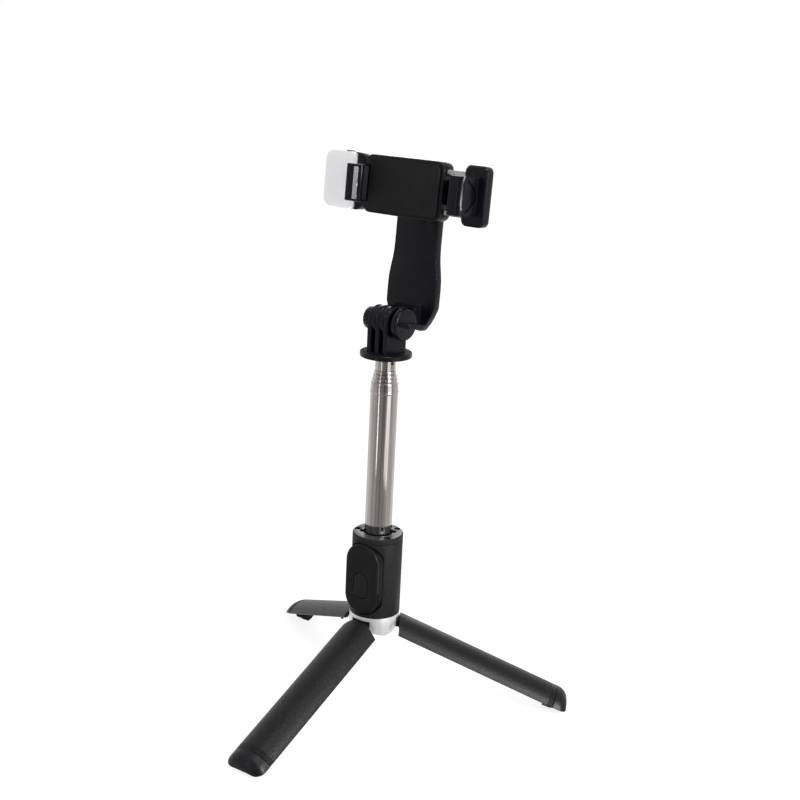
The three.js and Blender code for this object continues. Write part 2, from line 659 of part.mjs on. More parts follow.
function plateOutline() {
  const shape = new THREE.Shape();
  shape.moveTo(-PLATE_FOOT, PLATE_LOW);
  shape.lineTo(PLATE_FOOT, PLATE_LOW);
  shape.quadraticCurveTo(14.2, 0, PLATE_HIP, 8.5);
  shape.lineTo(PLATE_HIP, 18);
  shape.bezierCurveTo(PLATE_HIP, 28, PLATE_NECK, 30, PLATE_NECK, 42);
  shape.lineTo(PLATE_NECK, PIVOT_Z);
  shape.absarc(0, PIVOT_Z, PLATE_NECK, 0, Math.PI, false);
  shape.lineTo(-PLATE_NECK, 42);
  shape.bezierCurveTo(-PLATE_NECK, 30, -PLATE_HIP, 28, -PLATE_HIP, 18);
  shape.lineTo(-PLATE_HIP, 8.5);
  shape.quadraticCurveTo(-14.2, 0, -PLATE_FOOT, PLATE_LOW);
  return shape;
}

function tiltArm() {
  const plate = prismY(plateOutline(), PLATE_Y, 6);
  const back = PLATE_Y[0] + 1;
  const side = outline([[0, 8], [back, 8], [back, -4.2], [10, -4.2], [0, -8]]);
  const prongs = [-1, 1].map((n) => {
    const x = [n * PRONG_PITCH - PRONG_T / 2, n * PRONG_PITCH + PRONG_T / 2];
    return join(prismX(circle(0, 0, ARM_R), x, 12), prismX(side, x));
  });
  const blockSide = outline([[ARM_BLOCK_Y, 8], [back, 8], [back, -4.6], [ARM_BLOCK_Y, -4.2]]);
  const block = prismX(blockSide, [-ARM_BLOCK_X, ARM_BLOCK_X]);
  const bolt = alongX(rod(SCREW_HOLE_R, -12, 12, 20));
  const pivot = rod(PIVOT_R, PLATE_Y[0] - 1, PLATE_Y[1] + 1);
  const seat = rod(PIVOT_SEAT_R, PLATE_Y[1] - PIVOT_SEAT_H, PLATE_Y[1] + 1, 32);
  const drilled = [pivot, seat].map((hole) => alongY(hole).translate(0, 0, PIVOT_Z));
  return cut(join(plate, block, ...prongs), bolt, ...drilled);
}

add(lean, 'tilt_arm', tiltArm(), HEAD_BLACK);

// ---------- Phone clamp ----------
const clamp = new THREE.Group();
clamp.position.z = PIVOT_Z;
lean.add(clamp);

const bodyFace = (inset) => roundedRect(
  [BODY_X[0] + inset, BODY_X[1] - inset], [-BODY_HALF + inset, BODY_HALF - inset], BODY_CORNER - inset);

function clampHousing() {
  const [left, right] = BODY_X;
  const front = BODY_Y[0] + COVER_T + PAD_T + GAP;
  const shell = prismY(bodyFace(0), [front, BODY_Y[1]], 6);
  const tall = BODY_HALF - BODY_WALL - GAP;
  const inside = roundedRect([left + BODY_WALL, right - BODY_WALL], [-tall, tall], 3);
  const room = prismY(inside, [front - 1, BODY_Y[1] - BODY_WALL + 0.2], 4);
  const mouth = box(
    [right - END_WALL, right + 1], [TONGUE_Y[0] - GAP, TONGUE_Y[1] + GAP],
    [-TONGUE_HALF - 0.4, TONGUE_HALF + 0.4]);
  const rods = [-1, 1].map((n) => alongX(rod(ROD_R + GAP, right - END_WALL, right + 1, 16))
    .translate(0, ROD_Y, n * ROD_V));
  const bolt = alongY(rod(PIVOT_R - 0.2, 5, 20, 32));
  // Two ears on the left end carry the light's hinge pin.
  const arm = outline([
    [left + 1.5, BODY_Y[1] - 4.5], [left + 1.5, BODY_Y[1]],
    [LIGHT_PIN.x + 1.9, LIGHT_PIN.y + 1.2], [LIGHT_PIN.x - 1.4, LIGHT_PIN.y - 1.6],
    [left - 0.2, BODY_Y[1] - 2.5]]);
  const ear = (z) => join(lightPinRound(KNUCKLE_R, z, 10), prismZ(arm, z));
  const ears = [ear([-EAR_Z[1], -EAR_Z[0]]), ear(EAR_Z)];
  return cut(join(shell, ...ears), room, mouth, ...rods, bolt, lightPinRound(1.05, [-20, 20], 8));
}

// A round of radius r on the light's hinge axis.
function lightPinRound(r, z, curveSegments) {
  return prismZ(circle(LIGHT_PIN.x, LIGHT_PIN.y, r), z, curveSegments);
}

function clampCover() {
  const y = [BODY_Y[0] + PAD_T + 0.15, BODY_Y[0] + PAD_T + COVER_T];
  return prismY(bodyFace(0), y, 6);
}

// The fixed jaw wraps the left end of the body and hooks over the phone's edge.
function fixedJaw() {
  const r = 1.2;
  const shape = new THREE.Shape();
  shape.moveTo(FIXED_OUT, LIP_Y[0] + r);
  shape.absarc(FIXED_OUT + r, LIP_Y[0] + r, r, Math.PI, 1.5 * Math.PI, false);
  shape.lineTo(FIXED_LIP - r, LIP_Y[0]);
  shape.absarc(FIXED_LIP - r, LIP_Y[0] + r, r, -Math.PI / 2, 0, false);
  shape.lineTo(FIXED_LIP, LIP_Y[1]);
  shape.lineTo(FIXED_FACE - JAW_PAD_T, LIP_Y[1]);
  shape.lineTo(FIXED_FACE - JAW_PAD_T, BODY_Y[0] + PAD_T - 0.4);
  shape.lineTo(BODY_X[0] - GAP, BODY_Y[0] + PAD_T - 0.4);
  shape.lineTo(BODY_X[0] - GAP, 14.2);
  shape.lineTo(FIXED_OUT + 0.8, 14.2);
  shape.lineTo(FIXED_OUT, 13.4);
  const block = prismZ(shape, [-JAW_HALF, JAW_HALF], 4);
  const strip = box([STRIP_X[0] - 0.2, STRIP_X[1] + 0.2], [LIP_Y[0] - 1, LIP_Y[0] + 0.9], [-8.9, 8.9]);
  return cut(block, strip);
}

function jawPad(inner, direction) {
  const x = direction > 0 ? [inner - JAW_PAD_T + 0.1, inner] : [inner, inner + JAW_PAD_T - 0.1];
  return box(x, [LIP_Y[1] + GAP, BODY_Y[0] - GAP], [-JAW_HALF + 0.8, JAW_HALF - 0.8]);
}

add(clamp, 'clamp_housing', clampHousing(), HEAD_BLACK);
add(clamp, 'clamp_cover', clampCover(), HEAD_BLACK);
const padFace = roundedRect([FIXED_FACE + GAP, BODY_X[1] - 2.2], [-BODY_HALF + 2.2, BODY_HALF - 2.2], 3);
add(clamp, 'clamp_pad', prismY(padFace, [BODY_Y[0], BODY_Y[0] + PAD_T], 5), RUBBER);
add(clamp, 'fixed_jaw', fixedJaw(), HEAD_BLACK);
add(clamp, 'fixed_jaw_pad', jawPad(FIXED_FACE, 1), RUBBER);
add(clamp, 'jaw_strip', box(STRIP_X, [LIP_Y[0] - 0.1, LIP_Y[0] + 0.7], [-8.7, 8.7]), SILVER);

// Shoulder screw that joins the clamp body to the arm's plate.
function pivotScrew() {
  return alongY(turned([
    [0, 11.1], [5.0, 11.1], [5.0, 12.6], [2.9, 12.6], [2.9, PLATE_Y[1] - 1.3], [5.8, PLATE_Y[1] - 1.3],
    [5.8, PLATE_Y[1] - 0.1], [0, PLATE_Y[1] - 0.1]], 24));
}

function jawOutline(inset) {
  const front = LIP_Y[0] + inset;
  const outer = SLIDER_OUT - inset;
  const wallEnd = SLAB_Y[0] + 1;
  const shape = new THREE.Shape();
  shape.moveTo(SLIDER_LIP, LIP_Y[1]);
  shape.lineTo(SLIDER_LIP, front + 1);
  shape.absarc(SLIDER_LIP + 1, front + 1, 1, Math.PI, 1.5 * Math.PI, false);
  shape.lineTo(SLIDER_OUT - SLIDER_CORNER, front);
  shape.absarc(
    SLIDER_OUT - SLIDER_CORNER, LIP_Y[0] + SLIDER_CORNER, SLIDER_CORNER - inset, -Math.PI / 2, 0, false);
  shape.lineTo(outer, wallEnd);
  shape.lineTo(SLIDER_FACE + JAW_PAD_T, wallEnd);
  shape.lineTo(SLIDER_FACE + JAW_PAD_T, LIP_Y[1]);
  return shape;
}

function slider() {
  const jaw = prismZ(jawOutline(0), [-JAW_HALF, JAW_HALF], 6);
  const lens = prismX(lensShape(), [-4, 8], 8).rotateZ(DISH_TURN * DEG)
    .translate(SLIDER_OUT - SLIDER_CORNER, LIP_Y[0] + SLIDER_CORNER, 0);
  const dish = cut(lens, prismZ(jawOutline(DISH_DEPTH), [-JAW_HALF, JAW_HALF], 6));
  const tongue = cut(
    box([TONGUE_X, SLAB_X[0] + 1], TONGUE_Y, [-TONGUE_HALF, TONGUE_HALF]),
    box(SLOT_X, [TONGUE_Y[0] - 1, TONGUE_Y[1] + 1], [-SLOT_HALF, SLOT_HALF]));
  return join(cut(jaw, dish), jawSlab(), tongue);
}

// End block of the sliding jaw, chamfered round its front and back edges.
function jawSlab() {
  const settings = {
    depth: SLAB_Y[1] - SLAB_Y[0] - 2 * SLAB_CHAMFER, bevelThickness: SLAB_CHAMFER,
    bevelSize: SLAB_CHAMFER, bevelOffset: -SLAB_CHAMFER, bevelSegments: 1, curveSegments: 5,
  };
  return new THREE.ExtrudeGeometry(roundedRect(SLAB_X, [-BODY_HALF, BODY_HALF], 3.6), settings)
    .translate(0, 0, -SLAB_Y[1] + SLAB_CHAMFER).rotateX(Math.PI / 2);
}

function lensShape() {
  const [wide, tall] = DISH_HALF;
  const shape = new THREE.Shape();
  shape.moveTo(DISH_SHIFT, -tall);
  shape.quadraticCurveTo(DISH_SHIFT + 2 * wide, 0, DISH_SHIFT, tall);
  shape.quadraticCurveTo(DISH_SHIFT - 2 * wide, 0, DISH_SHIFT, -tall);
  return shape;
}

// Coil spring around a guide rod, between its collar and the housing's end wall.
function rodSpring(z) {
  const turns = 8;
  const steps = 56;
  const [from, to] = [ROD_END + 1.2, BODY_X[1] - END_WALL];
  const points = Array.from({ length: steps + 1 }, (_, i) => {
    const angle = (i / steps) * 2 * Math.PI * turns;
    const x = from + (i / steps) * (to - from);
    return new THREE.Vector3(x, ROD_Y + COIL_R * Math.cos(angle), z + COIL_R * Math.sin(angle));
  });
  const wire = outline([[WIRE_R, 0], [0, WIRE_R], [-WIRE_R, 0], [0, -WIRE_R]]);
  const extrudePath = new THREE.CatmullRomCurve3(points);
  return new THREE.ExtrudeGeometry(wire, { steps, extrudePath });
}

function guideRod(z) {
  const bar = rod(ROD_R, ROD_END - 1, SLAB_X[0] - GAP, 16);
  const collar = rod(2.2, ROD_END - 1, ROD_END + 0.2, 16);
  return alongX(join(bar, collar)).translate(0, ROD_Y, z);
}

add(clamp, 'pivot_screw', pivotScrew(), STEEL);
add(clamp, 'slider', slider(), HEAD_BLACK);
add(clamp, 'slider_pad', jawPad(SLIDER_FACE, -1), RUBBER);
for (const [name, side] of [['upper', 1], ['lower', -1]]) {
  add(clamp, `guide_rod_${name}`, guideRod(side * ROD_V), STEEL);
  add(clamp, `rod_spring_${name}`, rodSpring(side * ROD_V), STEEL);
}

// ---------- Fill light ----------
const lightFace = (inset) => roundedRect(
  [LIGHT_X[0] + inset, LIGHT_X[1] - inset], [-LIGHT_HALF + inset, LIGHT_HALF - inset], LIGHT_CORNER - inset);

function diffuserFace(inset) {
  const cropped = [LIGHT_X[0] + inset, DIFFUSER_END - inset];
  return roundedRect(cropped, [-LIGHT_HALF + inset, LIGHT_HALF - inset], LIGHT_CORNER - inset);
}

function diffuser() {
  const shell = prismY(diffuserFace(0), DIFFUSER_Y, 6);
  return cut(shell, prismY(diffuserFace(1.4), [DIFFUSER_Y[0] + 1.2, DIFFUSER_Y[1] + 1], 6));
}

function lightHousing() {
  const [backFront, backRear] = LIGHT_BACK_Y;
  const back = prismY(lightFace(0), LIGHT_BACK_Y, 6);
  const strip = overlap(
    prismY(lightFace(0), [DIFFUSER_Y[0] + 0.4, backRear - 1], 6),
    box([DIFFUSER_END + GAP, LIGHT_X[1]], [DIFFUSER_Y[0], backRear], [-LIGHT_HALF, LIGHT_HALF]));
  const room = prismY(diffuserFace(1.6), [backFront - 1, backRear - 1.2], 6);
  const knuckle = lightPinRound(KNUCKLE_R, [-KNUCKLE_Z, KNUCKLE_Z], 10);
  const web = prismZ(outline([
    [LIGHT_X[1] - 3, backRear - 0.6], [LIGHT_X[1] - 0.1, backRear - 0.6],
    [LIGHT_PIN.x + 1, LIGHT_PIN.y - 1.8], [LIGHT_PIN.x - 1.6, LIGHT_PIN.y + 1.2]]), [-KNUCKLE_Z, KNUCKLE_Z]);
  const shell = join(cut(join(back, strip), room), knuckle, web);
  const notch = box(
    [LIGHT_BUTTON_X - 2.8, LIGHT_BUTTON_X + 2.8], LIGHT_BACK_Y, [LIGHT_HALF - 2.2, LIGHT_HALF + 1]);
  return cut(shell, lightPinRound(1.15, [-20, 20], 8), notch);
}

add(clamp, 'light_diffuser', diffuser(), WHITE);
add(clamp, 'light_housing', lightHousing(), BLACK);
add(clamp, 'light_board', prismY(diffuserFace(2.2), [DIFFUSER_Y[1] - 0.6, DIFFUSER_Y[1] + 0.4], 5), BOARD);
add(clamp, 'light_pin', lightPinRound(0.95, [-EAR_Z[1] + 0.2, EAR_Z[1] - 0.2], 6), STEEL);
add(clamp, 'light_button', box(
  [LIGHT_BUTTON_X - 2.5, LIGHT_BUTTON_X + 2.5], [LIGHT_BACK_Y[0] + 0.3, LIGHT_BACK_Y[1] - 0.4],
  [LIGHT_HALF - 1.6, LIGHT_HALF + 0.6]), BLACK);

export default stick;
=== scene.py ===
"""Tripod selfie stick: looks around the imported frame. Metres, +Z up, -Y is the phone's screen side."""
import json
import math

import bmesh
import bpy
from mathutils import Matrix, Vector


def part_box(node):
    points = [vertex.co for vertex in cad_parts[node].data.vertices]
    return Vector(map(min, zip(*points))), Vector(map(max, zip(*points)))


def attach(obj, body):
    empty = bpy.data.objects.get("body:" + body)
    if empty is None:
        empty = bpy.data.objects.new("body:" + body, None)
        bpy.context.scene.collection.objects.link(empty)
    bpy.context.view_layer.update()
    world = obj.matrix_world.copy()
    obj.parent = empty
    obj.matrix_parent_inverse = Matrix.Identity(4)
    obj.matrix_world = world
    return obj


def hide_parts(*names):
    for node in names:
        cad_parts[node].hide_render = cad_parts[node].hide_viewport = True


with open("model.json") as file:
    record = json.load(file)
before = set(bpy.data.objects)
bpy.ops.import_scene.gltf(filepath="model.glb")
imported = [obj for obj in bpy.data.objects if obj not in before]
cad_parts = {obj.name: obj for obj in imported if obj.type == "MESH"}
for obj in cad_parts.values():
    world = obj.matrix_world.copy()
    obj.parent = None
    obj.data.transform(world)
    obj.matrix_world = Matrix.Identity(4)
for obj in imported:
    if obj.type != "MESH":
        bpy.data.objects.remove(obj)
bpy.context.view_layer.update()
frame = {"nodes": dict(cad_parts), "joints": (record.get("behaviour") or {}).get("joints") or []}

MM = 0.001
NODES = frame["nodes"]
JOINTS = {j["name"]: j for j in frame["joints"]}
POLE = Vector(JOINTS["head_turn"]["pos_m"])
HANDLE_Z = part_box("handle_body")[0].z
LEGS = "abc"


# ---------- Materials ----------
class Surface:
    """One Principled material with named helpers for its procedural detail."""

    def __init__(self, name, **sockets):
        self.material = bpy.data.materials.new(name)
        self.material.use_nodes = True
        self.tree = self.material.node_tree
        self.shader = self.tree.nodes["Principled BSDF"]
        for socket, value in sockets.items():
            self.shader.inputs[socket.replace("_", " ")].default_value = value
        self.coords = self.tree.nodes.new("ShaderNodeTexCoord").outputs["Object"]
        self.height = None

    def node(self, kind, **inputs):
        made = self.tree.nodes.new(kind)
        for socket, value in inputs.items():
            made.inputs[socket.replace("_", " ")].default_value = value
        return made

    def link(self, source, target):
        self.tree.links.new(source, target)

    def stretched(self, scale):
        mapping = self.node("ShaderNodeMapping", Scale=scale)
        self.link(self.coords, mapping.inputs["Vector"])
        return mapping.outputs["Vector"]

    def noise(self, scale, detail=4.0, roughness=0.55, stretch=None):
        made = self.node("ShaderNodeTexNoise", Scale=scale, Detail=detail, Roughness=roughness)
        source = self.stretched(stretch) if stretch else self.coords
        self.link(source, made.inputs["Vector"])
        return made.outputs["Fac"]

    def cells(self, scale):
        made = self.node("ShaderNodeTexVoronoi", Scale=scale)
        self.link(self.coords, made.inputs["Vector"])
        return made.outputs["Distance"]

    def tint(self, source, dark, light, low=0.35, high=0.65):
        """The base colour runs from dark to light as source goes from low to high."""
        ramp = self.tree.nodes.new("ShaderNodeValToRGB")
        ramp.color_ramp.elements[0].position = low
        ramp.color_ramp.elements[1].position = high
        ramp.color_ramp.elements[0].color = (*dark, 1)
        ramp.color_ramp.elements[1].color = (*light, 1)
        self.link(source, ramp.inputs["Fac"])
        self.link(ramp.outputs["Color"], self.shader.inputs["Base Color"])

    def gloss(self, source, smooth, rough):
        """Roughness runs from smooth to rough with source."""
        made = self.node("ShaderNodeMapRange")
        made.inputs["From Min"].default_value = 0.3
        made.inputs["From Max"].default_value = 0.7
        made.inputs["To Min"].default_value = smooth
        made.inputs["To Max"].default_value = rough
        self.link(source, made.inputs["Value"])
        self.link(made.outputs["Result"], self.shader.inputs["Roughness"])

    def bump(self, source, distance, strength=1.0):
        made = self.node("ShaderNodeBump", Strength=strength, Distance=distance)
        self.link(source, made.inputs["Height"])
        if self.height:
            self.link(self.height, made.inputs["Normal"])
        self.height = made.outputs["Normal"]
        self.link(self.height, self.shader.inputs["Normal"])


def grey(value, warm=0.0):
    return (value * (1 + warm), value, value * (1 - warm))


def moulded(name, dark, light, smooth, rough, grain=2600, depth=2.2e-5, specular=0.28):
    """Moulded plastic: fine pitted grain, faint mottling and handling marks in the gloss."""
    made = Surface(name, Specular_IOR_Level=specular)
    made.tint(made.noise(420, 5), dark, light)
    made.gloss(made.noise(160, 6, 0.7), smooth, rough)
    made.bump(made.cells(grain), depth, 0.7)
    made.bump(made.noise(grain * 0.6, 3), depth * 0.7, 0.5)
    return made.material


def leg_grain():
    """Spark-eroded black plastic: coarse bright-flecked grain that scatters a soft grey highlight."""
    made = Surface("leg_grain", Specular_IOR_Level=0.3)
    made.tint(made.noise(1500, 3, 0.75), grey(0.0012), grey(0.024, 0.08), 0.5, 0.72)
    made.gloss(made.noise(900, 4, 0.6), 0.34, 0.48)
    made.bump(made.cells(1250), 1.0e-4, 0.8)
    made.bump(made.noise(3200, 3), 3.0e-5, 0.8)
    return made.material


def drawn_steel():
    """Polished tube steel: bright and dull streaks drawn along Z, finer hair lines over them."""
    made = Surface("drawn_steel", Metallic=1.0)
    streaks = made.noise(1.0, 5, 0.65, stretch=(1300, 1300, 9))
    made.tint(streaks, (0.40, 0.362, 0.345), (0.80, 0.745, 0.715), 0.36, 0.62)
    made.gloss(made.noise(1.0, 5, 0.6, stretch=(900, 900, 120)), 0.08, 0.18)
    made.bump(streaks, 1.2e-5, 0.5)
    made.bump(made.noise(1.0, 4, 0.6, stretch=(5200, 5200, 26)), 4.0e-6, 0.6)
    return made.material


def metal(name, dark, light, smooth, rough, scale=900):
    made = Surface(name, Metallic=1.0)
    made.tint(made.noise(scale, 4), dark, light)
    made.gloss(made.noise(scale * 0.4, 5), smooth, rough)
    made.bump(made.noise(scale * 3, 3), 6.0e-6, 0.5)
    return made.material


def satin_silver():
    """Silver-painted plastic with fine metal flake."""
    made = Surface("satin_silver", Metallic=0.7, Coat_Weight=0.25, Coat_Roughness=0.2)
    made.tint(made.noise(6000, 2, 0.8), grey(0.76), grey(0.92), 0.35, 0.65)
    made.gloss(made.noise(500, 4), 0.28, 0.4)
    made.bump(made.noise(4200, 2), 5.0e-6, 0.5)
    return made.material


def frosted():
    """Milky diffuser: slight subsurface glow, fine frosting and a faint dot matrix of the moulding."""
    made = Surface("frosted_diffuser", Subsurface_Weight=0.35, Subsurface_Scale=0.002, IOR=1.49)
    made.shader.inputs["Subsurface Radius"].default_value = (1.0, 1.0, 1.1)
    made.tint(made.noise(260, 4), (0.90, 0.895, 0.93), (0.92, 0.915, 0.95))
    made.gloss(made.noise(700, 4), 0.36, 0.42)
    made.bump(made.cells(1800), 4.0e-6, 0.6)
    return made.material


def circuit_board():
    made = Surface("circuit_board", Specular_IOR_Level=0.5)
    made.tint(made.cells(700), (0.01, 0.09, 0.035), (0.03, 0.2, 0.08), 0.2, 0.6)
    made.gloss(made.noise(900), 0.3, 0.5)
    made.bump(made.cells(700), 2.0e-5, 0.6)
    return made.material


BLACK = moulded("handle_black", grey(0.0060, 0.02), grey(0.0095, 0.02), 0.46, 0.6)
CAP_BLACK = moulded(
    "tip_black", (0.005, 0.0053, 0.0075), (0.0085, 0.009, 0.012), 0.3, 0.42, grain=3600, depth=1.0e-5)
# The handle cap's upward faces: a lighter grey copy of the handle black, a painted sheen for the light they
# catch from behind.
PAINTED_TOP_SHEEN = moulded(
    "painted_top_sheen", (0.026, 0.0262, 0.029), (0.034, 0.0344, 0.038), 0.34, 0.44,
    grain=2600, depth=1.0e-5, specular=0.4)
LEG_BLACK = leg_grain()
HEAD_BLACK = moulded(
    "head_black", (0.0020, 0.0018, 0.0038), (0.0040, 0.0036, 0.0066), 0.2, 0.28,
    grain=3000, depth=4.0e-6, specular=0.25)
HEAD_MATTE = moulded(
    "head_matte", (0.003, 0.0028, 0.005), (0.005, 0.0046, 0.008), 0.65, 0.75,
    grain=3000, depth=4.0e-6, specular=0.1)
REMOTE_BLACK = moulded(
    "remote_black", grey(0.0052), grey(0.0072), 0.3, 0.38, grain=4200, depth=4.0e-6, specular=0.2)
BUTTON_BLACK = moulded("button_black", grey(0.0046), grey(0.0066), 0.3, 0.42, grain=3800, depth=8.0e-6)
RUBBER = moulded("rubber", grey(0.010), grey(0.013), 0.7, 0.85, grain=1800, depth=3.0e-5, specular=0.2)
STEEL = drawn_steel()
PLAIN_STEEL = metal("plain_steel", grey(0.42), grey(0.6), 0.22, 0.36)
BRASS = metal("bush_brass", (0.48, 0.33, 0.12), (0.62, 0.45, 0.2), 0.25, 0.4)
DARK_METAL = metal("blackened_screw", grey(0.02), grey(0.05), 0.3, 0.45)
# Bright metal for the left jaw's strip: a painted highlight standing in for the light caught on the jaw's
# rounded front corner.
PAINTED_HIGHLIGHT_STRIP = metal("painted_highlight_strip", (0.6, 0.6, 0.62), (0.72, 0.72, 0.75), 0.2, 0.3)
SILVER = satin_silver()
WHITE = frosted()
BOARD = circuit_board()


# ---------- Carried-over CAD pieces ----------
def paint(obj, material):
    obj.data.materials.clear()
    obj.data.materials.append(material)


WELD_DISTANCE = 2e-6
FLAT_ANGLE = math.radians(0.6)
UPWARD = 0.9


def soften(obj, width, segments=3, angle=32):
    """Welds the facets, merges flat areas, then rounds the edges sharper than angle, width in mm."""
    for polygon in obj.data.polygons:
        polygon.use_smooth = True
    weld = obj.modifiers.new("weld", "WELD")
    weld.merge_threshold = WELD_DISTANCE
    flat = obj.modifiers.new("flat", "DECIMATE")
    flat.decimate_type = "DISSOLVE"
    flat.angle_limit = FLAT_ANGLE
    bevel = obj.modifiers.new("bevel", "BEVEL")
    bevel.width = width * MM
    bevel.segments = segments
    bevel.limit_method = "ANGLE"
    bevel.angle_limit = math.radians(angle)
    bevel.harden_normals = True
    bevel.miter_outer = "MITER_ARC"


# Each node's material and the width in mm of its rounded edges.
CAD_LOOKS = {
    "handle_body": (BLACK, 0.05), "handle_top_cap": (BLACK, 0.06), "guide_bush": (RUBBER, 0.15),
    "cap_screw_1": (DARK_METAL, 0.1), "cap_screw_2": (DARK_METAL, 0.1), "cap_screw_3": (DARK_METAL, 0.1),
    "leg_hub": (SILVER, 0.22),
    "remote_back": (REMOTE_BLACK, 0.25), "remote_front": (REMOTE_BLACK, 0.35),
    "remote_button": (BUTTON_BLACK, 0.3), "remote_board": (BOARD, 0.08), "coin_cell": (PLAIN_STEEL, 0.2),
    "head_base": (HEAD_BLACK, 0.18), "head_rivet": (DARK_METAL, 0.2),
    "knurled_nut": (HEAD_BLACK, 0.14), "thumb_screw": (HEAD_BLACK, 0.3), "tilt_arm": (HEAD_BLACK, 0.18),
    "clamp_housing": (HEAD_BLACK, 0.5), "clamp_cover": (HEAD_BLACK, 0.4), "clamp_pad": (RUBBER, 0.35),
    "pivot_screw": (PLAIN_STEEL, 0.25),
    # jaw_strip carries the painted highlight of the left jaw's rounded front corner.
    "fixed_jaw": (HEAD_BLACK, 0.4), "fixed_jaw_pad": (RUBBER, 0.2), "jaw_strip": (PAINTED_HIGHLIGHT_STRIP, 0.18),
    "slider": (HEAD_BLACK, 0.55), "slider_pad": (RUBBER, 0.2),
    "guide_rod_upper": (PLAIN_STEEL, 0.2), "guide_rod_lower": (PLAIN_STEEL, 0.2),
    "rod_spring_upper": (PLAIN_STEEL, 0), "rod_spring_lower": (PLAIN_STEEL, 0),
    "light_housing": (HEAD_BLACK, 0.5), "light_diffuser": (WHITE, 0.75), "light_board": (BOARD, 0.08),
    "light_pin": (PLAIN_STEEL, 0.1), "light_button": (BUTTON_BLACK, 0.3),
}
for letter in LEGS:
    CAD_LOOKS[f"leg_liner_{letter}"] = (BLACK, 0.2)
    CAD_LOOKS[f"foot_{letter}"] = (RUBBER, 0.5)
    CAD_LOOKS[f"leg_pin_{letter}"] = (PLAIN_STEEL, 0.15)
for number in (4, 3, 2, 1):
    CAD_LOOKS[f"tube_{number}_bush"] = (BRASS, 0.1)

for node_name, (look, edge) in CAD_LOOKS.items():
    paint(NODES[node_name], look)
    if edge:
        soften(NODES[node_name], edge)


def paint_upward(obj, material):
    """A second material on the faces that look up."""
    obj.data.materials.append(material)
    for polygon in obj.data.polygons:
        if polygon.normal.z > UPWARD:
            polygon.material_index = 1


# Painted sheen: the handle cap's faces that look up get the lighter grey copy of its black.
paint_upward(NODES["handle_top_cap"], PAINTED_TOP_SHEEN)
paint_upward(NODES["head_base"], HEAD_MATTE)


# ---------- New pieces ----------
SAME_POINT = 1e-7


def piece(name, bm, material, body, slot, *stands_for, bevel=0.0, angle=35):
    """Makes a piece of a closed mesh, smooth but for edges sharper than angle, and hangs it on its body."""
    bmesh.ops.remove_doubles(bm, verts=bm.verts, dist=SAME_POINT)
    bmesh.ops.recalc_face_normals(bm, faces=bm.faces)
    for face in bm.faces:
        face.smooth = True
    for sharp in bm.edges:
        if len(sharp.link_faces) == 2 and sharp.calc_face_angle(0) > math.radians(angle):
            sharp.smooth = False
    mesh = bpy.data.meshes.new(name)
    bm.to_mesh(mesh)
    bm.free()
    obj = bpy.data.objects.new(name, mesh)
    bpy.context.scene.collection.objects.link(obj)
    obj.data.materials.append(material)
    if bevel:
        edge = obj.modifiers.new("bevel", "BEVEL")
        edge.width = bevel * MM
        edge.segments = 3
        edge.limit_method = "ANGLE"
        edge.angle_limit = math.radians(angle)
        edge.harden_normals = True
    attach(obj, body)
    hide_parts(*stands_for)


def grid_faces(bm, rows, closed=False):
    """Quads between rows of vertices; closed rows join end to start."""
    for low, high in zip(rows, rows[1:]):
        count = len(low)
        for i in range(count if closed else count - 1):
            j = (i + 1) % count
            bm.faces.new((low[i], low[j], high[j], high[i]))


def lathe(profile, centre, segments=96):
    """A closed profile of (radius, height) in mm turned about a vertical axis."""
    bm = bmesh.new()
    rows = []
    for radius, height in profile:
        row = []
        for i in range(segments):
            turn = 2 * math.pi * i / segments
            place = Vector((radius * math.cos(turn), radius * math.sin(turn), height)) * MM
            row.append(bm.verts.new(centre + place))
        rows.append(row)
    grid_faces(bm, rows + rows[:1], closed=True)
    return bm


# Tube sizes in mm. The bead's height is above the handle's foot. The groove's three heights are below
# the shoulder: its lower lip, then the two ends of its floor, from which it slopes up to the shoulder.
TUBE_WALL = 0.32
OUTER_TUBE_R = 7.7
FOOT_CHAMFER = (0.05, 0.1)
BEAD_R = 8.0
BEAD_Z = 129.8
BEAD_HALF_H = 0.9
BEAD_STEPS = 10
SHOULDER_H = 1.3
SHOULDER_R = 0.42
SHOULDER_STEPS = 7
GROOVE_D = 0.22
GROOVE_LIP = 0.7
GROOVE_FLOOR = 0.5
GROOVE_END = 0.2
MOUTH = (0.04, 0.1)
THROAT = 0.8


def tube_profile(outer, low, top, bead=None):
    """Drawn tube, swaged in at its top over a fine groove, with a rounded stop bead where there is one."""
    inner = outer - TUBE_WALL
    points = [(inner, low), (outer - FOOT_CHAMFER[0], low), (outer, low + FOOT_CHAMFER[1])]
    if bead:
        for i in range(BEAD_STEPS + 1):
            share = i / BEAD_STEPS
            rise = (1 - math.cos(2 * math.pi * share)) / 2
            points.append((outer + (BEAD_R - outer) * rise, bead - BEAD_HALF_H + 2 * BEAD_HALF_H * share))
    shoulder = top - SHOULDER_H
    points += [(outer, shoulder - GROOVE_LIP)]
    points += [(outer - GROOVE_D, shoulder - GROOVE_FLOOR), (outer - GROOVE_D, shoulder - GROOVE_END)]
    for i in range(SHOULDER_STEPS + 1):
        turn = math.pi / 2 * i / SHOULDER_STEPS
        across = SHOULDER_R * (1 - math.cos(turn))
        points.append((outer - across, shoulder + SHOULDER_H * math.sin(turn)))
    points += [(outer - SHOULDER_R - MOUTH[0], top - MOUTH[1]), (inner, shoulder - THROAT)]
    return points


